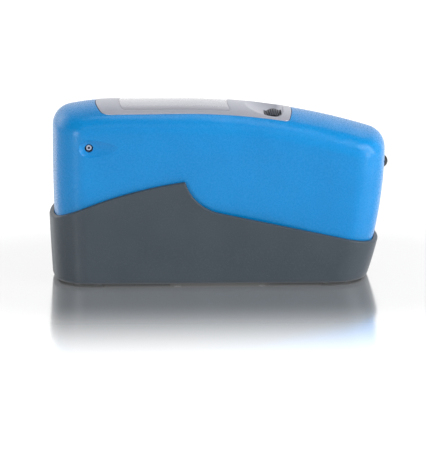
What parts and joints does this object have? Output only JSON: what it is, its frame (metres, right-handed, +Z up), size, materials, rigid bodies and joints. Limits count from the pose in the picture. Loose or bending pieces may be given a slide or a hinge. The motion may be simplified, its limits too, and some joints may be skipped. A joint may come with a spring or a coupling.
{
  "type": "gloss meter",
  "caption": "Hand-held gloss meter with display window, scroll wheel and end button, standing in a protective holder with a calibration tile.",
  "frame": {"origin": "middle of the whole in plan, on the plane the holder's feet stand on", "axes": "+X along the instrument towards the operate button, +Y across it away from the data socket, +Z up"},
  "size_m": [0.1582, 0.052, 0.0829],
  "materials": {
    "blue_plastic": "fine textured moulding",
    "grey_plastic": "satin moulding",
    "silver_panel": "silver paint, satin",
    "clear_window": "clear, hard coated",
    "display_glass": "reflective display",
    "dark_plastic": "moulded",
    "white_plastic": "moulded",
    "rubber": "moulded",
    "foam": "foam sheet",
    "black_glass": "polished",
    "screw_steel": "zinc plated",
    "spring_steel": "nickel plated",
    "contact_metal": "nickel plated",
    "magnet": "sintered",
    "circuit_board": "solder resist",
    "chip": "moulded epoxy",
    "optics_black": "black anodised",
    "lens_glass": "coated",
    "battery_jacket": "plain film",
    "can_metal": "plated"
  },
  "bodies": {
    "instrument": {"housing": "blue_plastic", "holder": "grey_plastic", "holder_feet": "rubber", "standard_tile": "black_glass", "standard_pad": "foam", "standard_cover": "dark_plastic", "standard_screws": "screw_steel", "display_panel": "silver_panel", "display_window": "clear_window", "display_glass": "display_glass", "display_frame": "dark_plastic", "display_connector_strip": "rubber", "wheel_frame": "dark_plastic", "wheel_screws": "screw_steel", "wheel_board": "circuit_board", "wheel_switch": "dark_plastic", "wheel_sensor": "chip", "button_switch": "dark_plastic", "button_board": "circuit_board", "data_socket": "dark_plastic", "socket_contact": "contact_metal", "base_plate": "dark_plastic", "base_screws": "screw_steel", "battery_door": "dark_plastic", "battery": "battery_jacket", "battery_tube": "dark_plastic", "battery_contact": "contact_metal", "battery_spring": "spring_steel", "main_board": "circuit_board", "processor": "chip", "board_screws": "screw_steel", "optics_block": "optics_black", "optics_screws": "screw_steel", "source_lens": "lens_glass", "source_spacer": "optics_black", "source_stop": "optics_black", "lamp_cap": "dark_plastic", "lamp": "can_metal", "lamp_board": "circuit_board", "receiver_lens": "lens_glass", "receiver_spacer": "optics_black", "receiver_stop": "optics_black", "detector_cap": "dark_plastic", "detector": "can_metal", "detector_board": "circuit_board"},
    "wheel_carrier": {"wheel_carrier": "white_plastic", "wheel_axle": "screw_steel", "wheel_plunger": "white_plastic"},
    "scroll_wheel": {"scroll_wheel": "dark_plastic", "wheel_magnet": "magnet"},
    "operate_button": {"operate_button": "dark_plastic", "button_plunger": "white_plastic"}
  },
  "joints": [
    {"name": "wheel_press", "type": "slide", "parent": "instrument", "child": "wheel_carrier", "axis": [0, 0, -1], "range_m": [0, 0.0005], "stiffness_N_per_m": 1500, "springref_m": -0.0005},
    {"name": "wheel_turn", "type": "hinge", "parent": "wheel_carrier", "child": "scroll_wheel", "pos_m": [0.0251, 0, 0.07381], "axis": [0, 1, 0], "continuous": true},
    {"name": "operate_press", "type": "slide", "parent": "instrument", "child": "operate_button", "axis": [-1, 0, 0], "range_m": [0, 0.001], "stiffness_N_per_m": 1200, "springref_m": -0.0005}
  ]
}
